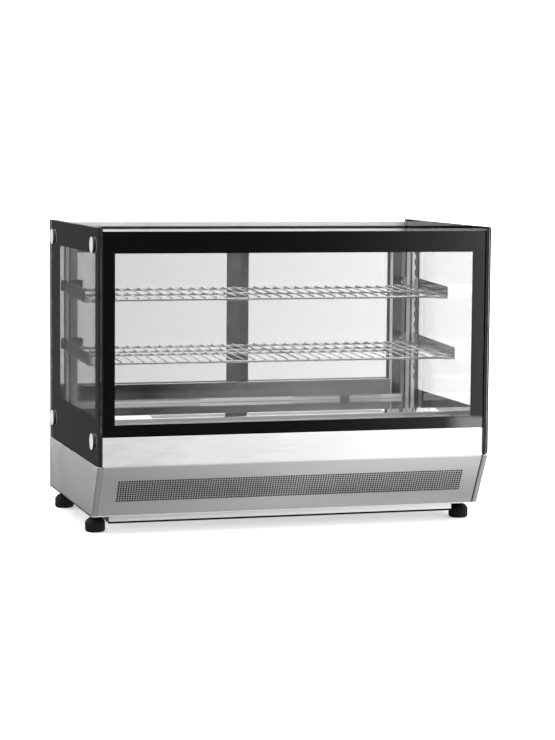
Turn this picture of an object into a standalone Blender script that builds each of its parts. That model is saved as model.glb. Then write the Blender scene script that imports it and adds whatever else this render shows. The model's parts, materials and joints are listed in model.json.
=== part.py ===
"""Countertop bakery display case: flat heated glass, two wire shelves and sliding rear doors.

Metres, +Z up, and the front looks along -Y. The origin is on the floor, midway between the side
panels and midway between their front edge and the button on the rear cover.
"""
import math

import bmesh
import bpy
from mathutils import Matrix, Vector
from mathutils.geometry import tessellate_polygon

# Overall size
WIDTH = 0.885                       # over the side panels
DEPTH = 0.560                       # side panels' front edge to the controller button
HEIGHT = 0.665                      # floor to the top of the side glass
GAP = 0.0003                        # left between pieces that touch
SHEET = 0.0012                      # folded sheet metal

# Base
FOOT_HEIGHT = 0.040
FOOT_X = 0.422
FOOT_Y = (-0.156, 0.190)
STUD_RADIUS = 0.005
BASE_TOP = 0.043
STEEL_TOP = 0.157                   # where the side glass starts
STEEL_REAR = 0.2655
FRONT = -DEPTH / 2
SLOPE_RUN = 0.063                   # how far the intake slope goes back below the fascia
TUB_TOP = 0.2205

# Glass
SIDE_DEPTH = 0.539
PANE = 0.0038
SPACER = 0.0028
UNIT = 2 * PANE + SPACER + 2 * GAP  # an insulating unit's thickness
INNER_X = WIDTH / 2 - UNIT          # inside face of the side glass
BETWEEN_X = INNER_X - GAP           # half length of what fits between the side units
FACE = FRONT + 0.004                # front glass and fascia, just behind the side glass edges
FRONT_GLASS = (0.220, 0.6565)
FRONT_WINDOW = (0.4033, 0.2455, 0.610)
SIDE_WINDOW = (FRONT + 0.044, 0.258, FRONT + 0.449, 0.609)
TOP_GLASS = (0.640, 0.646)
FIXING_Y = (FRONT + 0.048, FRONT + 0.496)
FIXING_Z = (0.207, 0.627)
FIXING_HOLE = 0.0054

# Chamber
DECK_TOP = 0.2368
CHAMBER_TOP = TOP_GLASS[0] - GAP
POST_X = (0.379, 0.412)
POST_Y = (0.190, 0.2112)
UPRIGHT_Y = (0.160, 0.185)
SLOT_PITCH = 0.025
FIRST_SLOT = 0.290
SLOT_COUNT = 13

# Shelves: rear rod height, front rod, and the slot that each bracket hooks into
SHELF_HALF = 0.408
SHELF_REAR = 0.165
SHELF_SLOPE = 0.039
ROD = 0.006
WIRE = 0.003
WIRE_GAPS = 32
SHELVES = {"upper": (0.506, -0.059, 0.515), "lower": (0.372, -0.110, 0.390)}
SHELF_NAMES = tuple(SHELVES)

# Sliding doors
DOOR_THICK = 0.013
DOOR_Y = {"left": 0.2118, "right": 0.2262}
DOOR_X = {"left": (-0.412, 0.006), "right": (-0.0035, 0.412)}
DOOR_Z = (0.2625, 0.6217)
DOOR_WINDOW_Z = (0.281, 0.590)
STILE = 0.033
TRACK_Y = (0.198, 0.2493)
SILL_TOP = 0.282
HEADER_BOTTOM = 0.605

# Rear cover and what sits in it
COVER_FACE = 0.274
CONTROLLER = (0.235, 0.197)
INLET = (0.345, 0.113)
ROCKER_PIVOT = (0.345, 0.2700, 0.128)
ROCKER_TILT = math.radians(8)

# Refrigeration
CONDENSER_FAN = (0.275, -0.134, 0.117)
EVAPORATOR_FAN = (-0.150, -0.027, 0.160)

# Colour, roughness, metallic
FINISHES = {
    "steel": ((0.60, 0.60, 0.61), 0.30, 1.0),
    "bright_steel": ((0.78, 0.78, 0.78), 0.16, 1.0),
    "chrome": ((0.85, 0.85, 0.86), 0.08, 1.0),
    "aluminium": ((0.70, 0.71, 0.72), 0.35, 1.0),
    "copper": ((0.72, 0.38, 0.25), 0.30, 1.0),
    "glass": ((0.90, 0.93, 0.92), 0.03, 0.0),
    "black_plastic": ((0.02, 0.02, 0.02), 0.45, 0.0),
    "grey_plastic": ((0.16, 0.16, 0.17), 0.50, 0.0),
    "rubber": ((0.015, 0.015, 0.015), 0.80, 0.0),
    "foam": ((0.75, 0.75, 0.73), 0.70, 0.0),
    "enamel": ((0.02, 0.02, 0.022), 0.35, 0.0),
    "diffuser": ((0.90, 0.90, 0.88), 0.55, 0.0),
}
SIDES = {"left": -1, "right": 1}


def clear_scene():
    for obj in list(bpy.data.objects):
        bpy.data.objects.remove(obj, do_unlink=True)


def material(name, colour, roughness, metallic):
    made = bpy.data.materials.new(name)
    made.use_nodes = True
    shader = made.node_tree.nodes["Principled BSDF"]
    shader.inputs["Base Color"].default_value = (*colour, 1.0)
    shader.inputs["Roughness"].default_value = roughness
    shader.inputs["Metallic"].default_value = metallic
    made.diffuse_color = (*colour, 1.0)
    return made


def add(name, body, finish, origin=(0.0, 0.0, 0.0)):
    """A named object with its own material, and its origin where its joint is."""
    bmesh.ops.translate(body, verts=body.verts, vec=-Vector(origin))
    mesh = bpy.data.meshes.new(name)
    body.to_mesh(mesh)
    body.free()
    mesh.shade_smooth()
    mesh.set_sharp_from_angle(angle=math.radians(35))
    mesh.materials.append(material(name, *FINISHES[finish]))
    obj = bpy.data.objects.new(name, mesh)
    obj.location = origin
    bpy.context.collection.objects.link(obj)
    return obj


# Shapes

def place(axis, level, u, v):
    """The point u, v of the plane across an axis: (y, z), (x, z) or (x, y)."""
    return {"X": (level, u, v), "Y": (u, level, v), "Z": (u, v, level)}[axis]


def circle(u, v, radius, sides=12):
    turns = [2 * math.pi * i / sides for i in range(sides)]
    return [(u + radius * math.cos(t), v + radius * math.sin(t)) for t in turns]


def rectangle(u0, v0, u1, v1):
    return [(u0, v0), (u1, v0), (u1, v1), (u0, v1)]


def arc(u, v, radius, start, end, steps=5):
    """Points on a circle between two angles in degrees."""
    turns = [math.radians(start + (end - start) * i / steps) for i in range(steps + 1)]
    return [(u + radius * math.cos(t), v + radius * math.sin(t)) for t in turns]


def prism(axis, start, end, outline, holes=()):
    """An outline with its holes, drawn out along an axis."""
    loops = [outline, *holes]
    body = bmesh.new()
    ends = []
    for level in (start, end):
        ends.append([body.verts.new(place(axis, level, u, v)) for loop in loops for u, v in loop])
    flat = [[Vector((u, v, 0.0)) for u, v in loop] for loop in loops]
    pieces = tessellate_polygon(flat) if holes else [range(len(outline))]
    for corners in pieces:
        for verts in ends:
            body.faces.new([verts[i] for i in corners])
    first = 0
    for loop in loops:
        for i in range(len(loop)):
            a = first + i
            b = first + (i + 1) % len(loop)
            body.faces.new((ends[0][a], ends[0][b], ends[1][b], ends[1][a]))
        first += len(loop)
    bmesh.ops.recalc_face_normals(body, faces=body.faces)
    return body


def box(low, high):
    return prism("Z", low[2], high[2], rectangle(low[0], low[1], high[0], high[1]))


def turned(axis, centre, profile, sides=16):
    """A profile of (radius, height) points, on the axis at both ends, spun about the axis."""
    body = bmesh.new()
    rings = []
    for radius, height in profile:
        points = circle(0.0, 0.0, radius, sides) if radius else [(0.0, 0.0)]
        rings.append([body.verts.new(Vector(centre) + Vector(place(axis, height, u, v)))
                      for u, v in points])
    for ring, after in zip(rings, rings[1:]):
        for i in range(sides):
            j = (i + 1) % sides
            corners = [ring[i % len(ring)], ring[j % len(ring)],
                       after[j % len(after)], after[i % len(after)]]
            body.faces.new(list(dict.fromkeys(corners)))
    bmesh.ops.recalc_face_normals(body, faces=body.faces)
    return body


def shape_object(name, body):
    mesh = bpy.data.meshes.new(name)
    body.to_mesh(mesh)
    body.free()
    obj = bpy.data.objects.new(name, mesh)
    bpy.context.collection.objects.link(obj)
    return obj


def boolean(body, tools, operation):
    """The body after each tool in turn is taken from it, or joined to it."""
    for tool in tools:
        target = shape_object("target", body)
        cutter = shape_object("cutter", tool)
        step = target.modifiers.new("step", "BOOLEAN")
        step.operation = operation
        step.object = cutter
        body = bmesh.new()
        body.from_object(target, bpy.context.evaluated_depsgraph_get())
        bpy.data.objects.remove(target)
        bpy.data.objects.remove(cutter)
    return body


def cut(body, *tools):
    return boolean(body, tools, "DIFFERENCE")


def join(body, *tools):
    return boolean(body, tools, "UNION")


def together(bodies):
    """Bodies that don't touch, as one tool."""
    made = bmesh.new()
    for body in bodies:
        mesh = bpy.data.meshes.new("part")
        body.to_mesh(mesh)
        body.free()
        made.from_mesh(mesh)
        bpy.data.meshes.remove(mesh)
    return made


def tilt_to_shelf(body):
    """Shears a level body so that it falls towards the front as the shelves do."""
    for vert in body.verts:
        vert.co.z -= SHELF_SLOPE * (SHELF_REAR - vert.co.y)


# Base and steel panels

def add_base():
    holes = [circle(side * FOOT_X, y, STUD_RADIUS + 2 * GAP) for side in (-1, 1) for y in FOOT_Y]
    edge = WIDTH / 2 - GAP
    outline = rectangle(-edge, FRONT + SLOPE_RUN + 0.0045, edge, STEEL_REAR - GAP)
    plate = prism("Z", FOOT_HEIGHT, BASE_TOP, outline, holes)
    pan = box((-0.397, -0.178, 0.020), (0.397, 0.135, FOOT_HEIGHT + 0.001))
    add("base_plate", join(plate, pan), "bright_steel")


def add_foot(name, x, y):
    profile = [(0.0, 0.0), (0.0190, 0.0), (0.0220, 0.003), (0.0220, 0.022), (0.0165, 0.029),
               (0.0110, 0.030), (0.0110, FOOT_HEIGHT - GAP), (STUD_RADIUS, FOOT_HEIGHT - GAP),
               (STUD_RADIUS, 0.060), (0.0, 0.060)]
    add(name, turned("Z", (x, y, 0.0), profile), "rubber", (x, y, 0.0))


def slope_y(z):
    """Where the intake slope is at a height, from the fascia's foot to the base plate."""
    return FACE + (STEEL_TOP - z) * SLOPE_RUN / (STEEL_TOP - BASE_TOP)


def add_side_panel(side, sign):
    bottom = BASE_TOP + GAP
    outline = [(FRONT, STEEL_TOP), (FRONT + SLOPE_RUN, bottom), (STEEL_REAR, bottom),
               (STEEL_REAR, STEEL_TOP)]
    add(f"{side}_side_panel", prism("X", sign * INNER_X, sign * WIDTH / 2, outline), "steel")


def add_fascia():
    low = STEEL_TOP + GAP
    high = FRONT_GLASS[0] - GAP
    back = FACE + 0.012
    outline = [(FACE, low), (back, low), (back, low + SHEET), (FACE + SHEET, low + SHEET),
               (FACE + SHEET, high - SHEET), (back, high - SHEET), (back, high), (FACE, high)]
    add("front_fascia", prism("X", -BETWEEN_X, BETWEEN_X, outline), "bright_steel")


def add_grille():
    low = BASE_TOP + 2 * GAP
    high = STEEL_TOP
    flange = 0.012
    skin = SHEET * math.hypot(SLOPE_RUN, high - low) / (high - low)
    outline = [(slope_y(high), high), (slope_y(low), low), (slope_y(low) + flange, low),
               (slope_y(low) + flange, low + SHEET), (slope_y(low + SHEET) + skin, low + SHEET),
               (slope_y(high - SHEET) + skin, high - SHEET), (slope_y(high) + flange, high - SHEET),
               (slope_y(high) + flange, high)]
    add("front_grille_panel", prism("X", -BETWEEN_X, BETWEEN_X, outline), "steel")


def add_tub():
    floor = BASE_TOP + GAP
    rim = 0.190
    outline = [(-0.405, floor), (0.120, floor), (0.120, rim), (0.430, rim), (0.430, TUB_TOP),
               (-0.430, TUB_TOP), (-0.430, rim), (-0.405, rim)]
    cavity = box((-0.375, -0.160, 0.100), (0.090, 0.205, TUB_TOP + 0.01))
    add("insulated_tub", cut(prism("Y", -0.190, 0.240, outline), cavity), "foam")


def add_deck():
    """The polished floor: level at the rear, a sloped air strip, and a step down to the front."""
    thick = 0.0015
    strip = (-0.033, -0.077)
    strip_low = 0.2335
    front_floor = 0.2235
    rear = POST_Y[0] - 0.0005
    glass = FACE + UNIT + GAP
    outline = [(rear, DECK_TOP), (strip[0], DECK_TOP), (strip[1], strip_low),
               (strip[1], front_floor), (glass, front_floor), (glass, front_floor - thick),
               (strip[1] + thick, front_floor - thick), (strip[1] + thick, strip_low - thick),
               (strip[0], DECK_TOP - thick), (rear, DECK_TOP - thick)]
    slots = []
    for y in (-0.055, 0.172):
        for i in range(12):
            x = 0.047 * (i - 5.5)
            slots.append(box((x - 0.018, y - 0.007, 0.230), (x + 0.018, y + 0.007, 0.245)))
    add("deck_panel", cut(prism("X", -BETWEEN_X, BETWEEN_X, outline), together(slots)), "steel")


# Glass

def add_unit(name, axis, outside, inward, outline, window, holes):
    """An outer pane, a spacer frame and an inner pane, from the outside face inward."""
    layers = (("outer_pane", PANE, holes, "glass"), ("spacer", SPACER, [window, *holes], "aluminium"),
              ("inner_pane", PANE, holes, "glass"))
    level = outside
    for layer, thick, openings, finish in layers:
        far = level + inward * thick
        add(f"{name}_{layer}", prism(axis, level, far, outline, openings), finish)
        level = far + inward * GAP


def add_side_glass(side, sign):
    low = STEEL_TOP + GAP
    corner = 0.013
    outline = [*arc(FRONT + corner, low + corner, corner, 180, 270), (FRONT + SIDE_DEPTH, low),
               (FRONT + SIDE_DEPTH, HEIGHT), (FRONT, HEIGHT)]
    holes = [circle(y, z, FIXING_HOLE) for y in FIXING_Y for z in FIXING_Z]
    add_unit(f"{side}_glass", "X", sign * WIDTH / 2, -sign, outline, rectangle(*SIDE_WINDOW), holes)
    cap = 0.0042
    face = WIDTH / 2 + GAP + cap
    profile = [(0.0, 0.0), (0.0158, 0.0), (0.0176, 0.0015), (0.0176, cap), (STUD_RADIUS, cap),
               (STUD_RADIUS, face - INNER_X - 0.001), (0.0, face - INNER_X - 0.001)]
    profile = [(radius, -sign * height) for radius, height in profile]
    for depth, y in zip(("front", "rear"), FIXING_Y):
        for level, z in zip(("lower", "upper"), FIXING_Z):
            fixing = turned("X", (sign * face, y, z), profile)
            add(f"{side}_{level}_{depth}_fixing", fixing, "chrome")


def add_front_glass():
    outline = rectangle(-BETWEEN_X, FRONT_GLASS[0], BETWEEN_X, FRONT_GLASS[1])
    half, low, high = FRONT_WINDOW
    add_unit("front_glass", "Y", FACE, 1, outline, rectangle(-half, low, half, high), [])


def add_top():
    front = FACE + UNIT + GAP
    rear = 0.246
    low, high = TOP_GLASS
    add("top_glass", box((-BETWEEN_X, front, low), (BETWEEN_X, rear, high)), "glass")
    strip = box((-BETWEEN_X, rear - 0.004, high + GAP), (BETWEEN_X, rear, high + 0.003))
    add("top_glass_gasket", strip, "rubber")


def add_lamp():
    front = FACE + UNIT + GAP
    back = front + 0.030
    low = 0.612
    wall = 0.0015
    outline = [(front, low), (front + wall, low), (front + wall, CHAMBER_TOP - wall),
               (back - wall, CHAMBER_TOP - wall), (back - wall, low), (back, low),
               (back, CHAMBER_TOP), (front, CHAMBER_TOP)]
    add("lamp_housing", prism("X", -0.428, 0.428, outline), "aluminium")
    inset = wall + GAP
    strip = box((-0.427, front + inset, low), (0.427, back - inset, low + 0.004))
    add("lamp_diffuser", strip, "diffuser")


# Rear frame and doors

def post_clearance():
    """The space of both rear posts, with a gap round it, at any height."""
    low, high = POST_X[0] - GAP, POST_X[1] + GAP
    return together(box((min(s * low, s * high), 0.1, 0.1), (max(s * low, s * high), POST_Y[1] + GAP, 0.7))
                    for s in (-1, 1))


def track_outline(edge, floor, lip, far_lip):
    """Two door grooves side by side: edge is the body's far side, floor the grooves' bottom."""
    grooves = [(DOOR_Y[side] - GAP, DOOR_Y[side] + DOOR_THICK + GAP) for side in ("left", "right")]
    divider = floor + (lip - floor) * 0.6
    return [(TRACK_Y[0], edge), (TRACK_Y[0], lip), (grooves[0][0], lip), (grooves[0][0], floor),
            (grooves[0][1], floor), (grooves[0][1], divider), (grooves[1][0], divider),
            (grooves[1][0], floor), (grooves[1][1], floor), (grooves[1][1], far_lip),
            (TRACK_Y[1], far_lip)]


def add_rear_frame():
    sill = track_outline(TUB_TOP + GAP, DOOR_Z[0] - GAP, SILL_TOP, SILL_TOP)
    sill.append((TRACK_Y[1], TUB_TOP + GAP))
    add("rear_sill", cut(prism("X", -BETWEEN_X, BETWEEN_X, sill), post_clearance()), "steel")
    header = track_outline(CHAMBER_TOP, DOOR_Z[1] + GAP, HEADER_BOTTOM, HEADER_BOTTOM)
    upstand = 0.2463
    top = 0.6595
    header += [(TRACK_Y[1], top), (upstand, top), (upstand, CHAMBER_TOP)]
    add("rear_header", cut(prism("X", -BETWEEN_X, BETWEEN_X, header), post_clearance()), "aluminium")
    wall = 0.0015
    for side, sign in SIDES.items():
        x0, x1 = sorted(sign * x for x in POST_X)
        bore = rectangle(x0 + wall, POST_Y[0] + wall, x1 - wall, POST_Y[1] - wall)
        post = prism("Z", TUB_TOP + GAP, CHAMBER_TOP, rectangle(x0, POST_Y[0], x1, POST_Y[1]), [bore])
        add(f"{side}_rear_post", post, "aluminium")


def add_door(side):
    """A moulded frame with a finger pull on its outer stile, and a pane bedded from the rear."""
    x0, x1 = DOOR_X[side]
    y0 = DOOR_Y[side]
    y1 = y0 + DOOR_THICK
    z0, z1 = DOOR_WINDOW_Z
    rebate = 0.006
    depth = 0.0055
    window = box((x0 + STILE, y0 - 0.01, z0), (x1 - STILE, y1 + 0.01, z1))
    bed = box((x0 + STILE - rebate, y1 - depth, z0 - rebate), (x1 - STILE + rebate, y1 + 0.01, z1 + rebate))
    pull_x = x0 + 0.015 if side == "left" else x1 - 0.015
    pull = box((pull_x - 0.007, y1 - 0.008, 0.360), (pull_x + 0.007, y1 + 0.01, 0.500))
    frame = cut(box((x0, y0, DOOR_Z[0]), (x1, y1, DOOR_Z[1])), window, bed, pull)
    closed = (x0 if side == "left" else x1, y0, DOOR_Z[0])
    add(f"{side}_door_frame", frame, "grey_plastic", closed)
    edge = rebate - GAP
    pane = box((x0 + STILE - edge, y1 - depth + GAP, z0 - edge), (x1 - STILE + edge, y1 - 0.0012, z1 + edge))
    add(f"{side}_door_glass", pane, "glass", closed)


# Shelves

def add_upright(side, sign):
    wall = 0.0015
    face = POST_X[1]
    y0, y1 = UPRIGHT_Y
    outline = [(BETWEEN_X, y0), (face, y0), (face, y1), (BETWEEN_X, y1), (BETWEEN_X, y1 - wall),
               (face + wall, y1 - wall), (face + wall, y0 + wall), (BETWEEN_X, y0 + wall)]
    outline = [(sign * x, y) for x, y in outline]
    slots = []
    for i in range(SLOT_COUNT):
        z = FIRST_SLOT + SLOT_PITCH * i
        x0, x1 = sorted((sign * 0.4235, sign * 0.4270))
        slots.append(box((x0, y0 - 0.01, z - 0.007), (x1, y0 + 0.01, z + 0.007)))
    channel = prism("Z", DECK_TOP + GAP, CHAMBER_TOP, outline)
    add(f"{side}_upright", cut(channel, together(slots)), "chrome")


def add_bracket(side, sign, name):
    """An angle arm under the shelf's edge, with a tab that hooks into the upright."""
    rear_z, front, slot_z = SHELVES[name]
    rear = UPRIGHT_Y[0] - GAP
    plate_x = (0.4245, 0.4260)
    flange_top = -ROD / 2 - GAP
    flange_low = flange_top - 0.0015
    plate_top = 0.023
    tab = 0.004
    drop = SHELF_SLOPE * (SHELF_REAR - rear)
    front_drop = SHELF_SLOPE * (SHELF_REAR - front)
    outline = [(front, rear_z + flange_low - front_drop), (rear, rear_z + flange_low - drop),
               (rear, slot_z - tab), (rear + 0.009, slot_z - tab), (rear + 0.009, slot_z + tab),
               (rear, slot_z + tab), (rear, rear_z + plate_top - drop),
               (front, rear_z + plate_top - front_drop)]
    arm = prism("X", sign * plate_x[0], sign * plate_x[1], outline)
    x0, x1 = sorted((sign * 0.400, sign * (plate_x[0] + 0.001)))
    flange = box((x0, front, rear_z + flange_low), (x1, rear, rear_z + flange_top))
    tilt_to_shelf(flange)
    add(f"{side}_{name}_bracket", join(arm, flange), "chrome")


def add_shelf(name):
    """Cross wires between three rods, drawn as one grid."""
    rear_z, front, _ = SHELVES[name]
    half = ROD / 2
    rods = (front, (front + SHELF_REAR) / 2, SHELF_REAR)
    pitch = 2 * SHELF_HALF / WIRE_GAPS
    holes = []
    for near, far in zip(rods, rods[1:]):
        for i in range(WIRE_GAPS):
            x = -SHELF_HALF + pitch * i
            left = x + (WIRE if i == 0 else WIRE / 2)
            right = x + pitch - (WIRE if i == WIRE_GAPS - 1 else WIRE / 2)
            holes.append(rectangle(left, near + half, right, far - half))
    outline = rectangle(-SHELF_HALF, front - half, SHELF_HALF, SHELF_REAR + half)
    grid = prism("Z", rear_z - half, rear_z + half, outline, holes)
    tilt_to_shelf(grid)
    add(f"{name}_shelf", grid, "chrome", (0.0, SHELF_REAR, rear_z))


# Refrigeration

def fan(centre, hub, reach, depth):
    """Five pitched blades on a hub, turning about Y."""
    rotor = turned("Y", centre, [(0.0, -depth / 2), (hub, -depth / 2), (hub, depth / 2), (0.0, depth / 2)])
    blades = []
    for i in range(5):
        blade = box((hub - 0.002, -0.0012, -depth * 0.9), (reach, 0.0012, depth * 0.9))
        pitch = Matrix.Rotation(math.radians(62), 4, "X")
        spin = Matrix.Rotation(math.radians(72 * i), 4, "Y")
        bmesh.ops.transform(blade, verts=blade.verts, matrix=Matrix.Translation(centre) @ spin @ pitch)
        blades.append(blade)
    return join(rotor, *blades)


def finned_block(low, high, fins):
    """A coil pack: fins along X standing out of both faces of a core."""
    x0, y0, z0 = low
    x1, y1, z1 = high
    fin = (x1 - x0) / (2 * fins + 1)
    tooth = (y1 - y0) * 0.2
    edges = [x0 + fin * i for i in range(2 * fins + 2)]
    near = []
    far = []
    for i, (a, b) in enumerate(zip(edges, edges[1:])):
        proud = i % 2 == 0
        near += [(a, y0 if proud else y0 + tooth), (b, y0 if proud else y0 + tooth)]
        far += [(a, y1 if proud else y1 - tooth), (b, y1 if proud else y1 - tooth)]
    return prism("Z", z0, z1, near + far[::-1])


def add_condenser():
    floor = BASE_TOP + GAP
    add("condenser_coil", finned_block((0.140, -0.200, floor), (0.405, -0.162, 0.185), 12), "aluminium")
    x, y, z = CONDENSER_FAN
    back = -0.160
    outline = rectangle(0.140, floor, 0.405, 0.185)
    plate = prism("Y", back, back + 0.002, outline, [circle(x, z, 0.062, 24)])
    legs = [box((x + s * 0.068 - 0.006, back, z - 0.008), (x + s * 0.068 + 0.006, -0.094, z + 0.008))
            for s in (-1, 1)]
    bar = box((x - 0.074, -0.097, z - 0.008), (x + 0.074, -0.094, z + 0.008))
    motor_profile = [(0.0, -0.117), (0.020, -0.117), (0.022, -0.115), (0.022, -0.090), (0.018, -0.086),
                     (0.0, -0.086)]
    motor = turned("Y", (x, 0.0, z), motor_profile)
    add("condenser_fan_shroud", join(plate, *legs, bar, motor), "steel")
    add("condenser_fan", fan((x, y, z), 0.016, 0.057, 0.016), "black_plastic", CONDENSER_FAN)


def add_compressor():
    profile = [(0.0, 0.046), (0.060, 0.046), (0.066, 0.050), (0.072, 0.058), (0.076, 0.090),
               (0.078, 0.100), (0.078, 0.108), (0.074, 0.112), (0.070, 0.150), (0.058, 0.172),
               (0.030, 0.183), (0.0, 0.185)]
    shell = turned("Z", (0.275, 0.060, 0.0), profile, 20)
    plate = box((0.185, -0.025, BASE_TOP + GAP), (0.365, 0.145, BASE_TOP + 0.004))
    add("compressor", join(shell, plate), "enamel")


def add_evaporator():
    floor = 0.100 + GAP
    add("evaporator_coil", finned_block((-0.360, 0.020, floor), (0.070, 0.110, 0.205), 16), "aluminium")
    x, y, z = EVAPORATOR_FAN
    motor = turned("Y", (x, 0.0, z), [(0.0, -0.078), (0.016, -0.078), (0.018, -0.076), (0.018, -0.044),
                                      (0.0, -0.044)])
    leg = box((x - 0.008, -0.066, floor), (x + 0.008, -0.060, z - 0.010))
    add("evaporator_fan_motor", join(motor, leg), "grey_plastic")
    add("evaporator_fan", fan((x, y, z), 0.013, 0.048, 0.014), "black_plastic", EVAPORATOR_FAN)


# Rear cover and controls

def opening(centre, half, depth=(0.240, 0.290)):
    """A straight hole through the rear cover."""
    x, z = centre
    return box((x - half[0], depth[0], z - half[1]), (x + half[0], depth[1], z + half[1]))


def add_rear_cover():
    low = (-0.425, STEEL_REAR + GAP, 0.046)
    high = (0.425, COVER_FACE, 0.235)
    inside = box((low[0] + SHEET, low[1] - 0.01, low[2] + SHEET),
                 (high[0] - SHEET, high[1] - SHEET, high[2] - SHEET))
    louvres = [opening((x, 0.070 + 0.013 * i), (0.060, 0.003)) for x in (-0.290, -0.120, 0.170)
               for i in range(7)]
    holes = [opening(CONTROLLER, (0.036, 0.0145)), opening(INLET, (0.0145, 0.0245))]
    cover = cut(box(low, high), inside, together(louvres + holes))
    add("rear_cover", cover, "steel")


def add_controller():
    x, z = CONTROLLER
    face = COVER_FACE + 0.0035
    body = opening(CONTROLLER, (0.0355, 0.014), (0.246, COVER_FACE + 0.001))
    bezel = opening(CONTROLLER, (0.0385, 0.017), (COVER_FACE + GAP, face))
    button_x = x + 0.027
    bore = 0.0044
    seat = 0.2700
    socket = turned("Y", (button_x, 0.0, z), [(0.0, seat), (bore, seat), (bore, 0.29), (0.0, 0.29)])
    add("controller", cut(join(body, bezel), socket), "black_plastic")
    foot = seat + 0.0015
    button = [(0.0, foot), (0.004, foot), (0.004, DEPTH / 2 - 0.0005), (0.0035, DEPTH / 2), (0.0, DEPTH / 2)]
    origin = (button_x, DEPTH / 2, z)
    add("controller_button", turned("Y", (button_x, 0.0, z), button), "grey_plastic", origin)


def add_inlet():
    """A mains inlet with its rocker switch above the socket."""
    x, z = INLET
    body = opening(INLET, (0.0140, 0.0240), (0.248, COVER_FACE + 0.001))
    bezel = opening(INLET, (0.0165, 0.0270), (COVER_FACE + GAP, COVER_FACE + 0.003))
    socket = opening((x, z - 0.009), (0.0115, 0.0080), (0.258, 0.290))
    pivot_z = ROCKER_PIVOT[2]
    pocket = opening((x, pivot_z), (0.0105, 0.0070), (0.2640, 0.290))
    add("power_inlet", cut(join(body, bezel), socket, pocket), "black_plastic")
    px, py, pz = ROCKER_PIVOT
    rocker = [(-0.004, -0.0040), (0.0046, -0.0058), (0.0052, -0.0052), (0.0040, 0.0), (0.0052, 0.0052),
              (0.0046, 0.0058), (-0.004, 0.0040)]
    lever = prism("X", px - 0.0100, px + 0.0100, rocker)
    turn = Matrix.Translation((0.0, py, pz)) @ Matrix.Rotation(-ROCKER_TILT, 4, "X")
    bmesh.ops.transform(lever, verts=lever.verts, matrix=turn)
    add("power_switch", lever, "black_plastic", ROCKER_PIVOT)


def main():
    clear_scene()
    add_base()
    for side, sign in SIDES.items():
        for depth, y in zip(("front", "rear"), FOOT_Y):
            add_foot(f"{side}_{depth}_foot", sign * FOOT_X, y)
        add_side_panel(side, sign)
        add_side_glass(side, sign)
        add_door(side)
        add_upright(side, sign)
        for name in SHELF_NAMES:
            add_bracket(side, sign, name)
    add_fascia()
    add_grille()
    add_tub()
    add_deck()
    add_front_glass()
    add_top()
    add_lamp()
    add_rear_frame()
    for name in SHELF_NAMES:
        add_shelf(name)
    add_condenser()
    add_compressor()
    add_evaporator()
    add_rear_cover()
    add_controller()
    add_inlet()


main()
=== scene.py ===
"""Bakery display case: detailed pieces, materials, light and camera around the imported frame.

Metres, in the frame's own axes: +X right, +Y from the front to the rear doors, +Z up.
"""
import json
import math

import bmesh
import bpy
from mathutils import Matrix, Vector


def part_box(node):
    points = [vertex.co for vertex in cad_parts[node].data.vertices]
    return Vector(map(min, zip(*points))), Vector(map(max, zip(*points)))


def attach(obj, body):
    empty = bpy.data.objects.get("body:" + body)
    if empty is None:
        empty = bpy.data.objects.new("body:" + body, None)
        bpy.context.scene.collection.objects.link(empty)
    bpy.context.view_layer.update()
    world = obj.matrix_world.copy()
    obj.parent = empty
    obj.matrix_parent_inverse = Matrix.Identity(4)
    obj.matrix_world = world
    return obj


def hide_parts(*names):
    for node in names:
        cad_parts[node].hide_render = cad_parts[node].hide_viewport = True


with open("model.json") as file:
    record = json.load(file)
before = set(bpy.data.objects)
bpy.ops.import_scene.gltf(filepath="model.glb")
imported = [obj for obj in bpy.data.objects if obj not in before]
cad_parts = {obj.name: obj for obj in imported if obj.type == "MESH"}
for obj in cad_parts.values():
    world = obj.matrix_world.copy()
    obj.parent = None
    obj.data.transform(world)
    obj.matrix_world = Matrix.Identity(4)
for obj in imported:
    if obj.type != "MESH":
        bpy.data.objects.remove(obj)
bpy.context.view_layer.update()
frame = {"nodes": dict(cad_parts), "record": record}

NODES = frame["nodes"]
RECORD = frame["record"]
BODY_OF = {name: body for body, names in RECORD["behaviour"]["bodies"].items() for name in names}
SLOT_OF = {part["node"]: part["material_slot"] for part in RECORD["subparts"]}
SIDES = {"left": -1, "right": 1}

# ---------------------------------------------------------------- camera

CAMERA_AT = (-1.4208, -4.9402, 0.8342)
CAMERA_TURN = (84.3976, -0.4624, -16.3801)      # degrees about X, Y and Z
CAMERA_LENS = 110.03                            # millimetres, on a sensor of this width
SENSOR_WIDTH = 36.0


def add_camera():
    data = bpy.data.cameras.new("camera")
    data.lens = CAMERA_LENS
    data.sensor_width = SENSOR_WIDTH
    data.dof.use_dof = False
    camera = bpy.data.objects.new("camera", data)
    camera.location = CAMERA_AT
    camera.rotation_euler = [math.radians(a) for a in CAMERA_TURN]
    bpy.context.scene.collection.objects.link(camera)
    bpy.context.scene.camera = camera


# ---------------------------------------------------------------- node helpers

def node(tree, kind, inputs=None, **settings):
    made = tree.nodes.new(kind)
    for key, value in settings.items():
        setattr(made, key, value)
    for key, value in (inputs or {}).items():
        if isinstance(value, bpy.types.NodeSocket):
            tree.links.new(value, made.inputs[key])
        else:
            made.inputs[key].default_value = value
    return made


def math_node(tree, operation, a, b=0.0, clamp=False):
    made = node(tree, "ShaderNodeMath", {0: a, 1: b}, operation=operation, use_clamp=clamp)
    return made.outputs[0]


def ramp(tree, value, low, high, out_low=0.0, out_high=1.0, smooth=True):
    """Takes a value from one range to another, and holds it at the ends."""
    made = node(tree, "ShaderNodeMapRange", {"Value": value, "From Min": low, "From Max": high,
                                             "To Min": out_low, "To Max": out_high})
    made.interpolation_type = "SMOOTHSTEP" if smooth else "LINEAR"
    return made.outputs["Result"]


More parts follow.
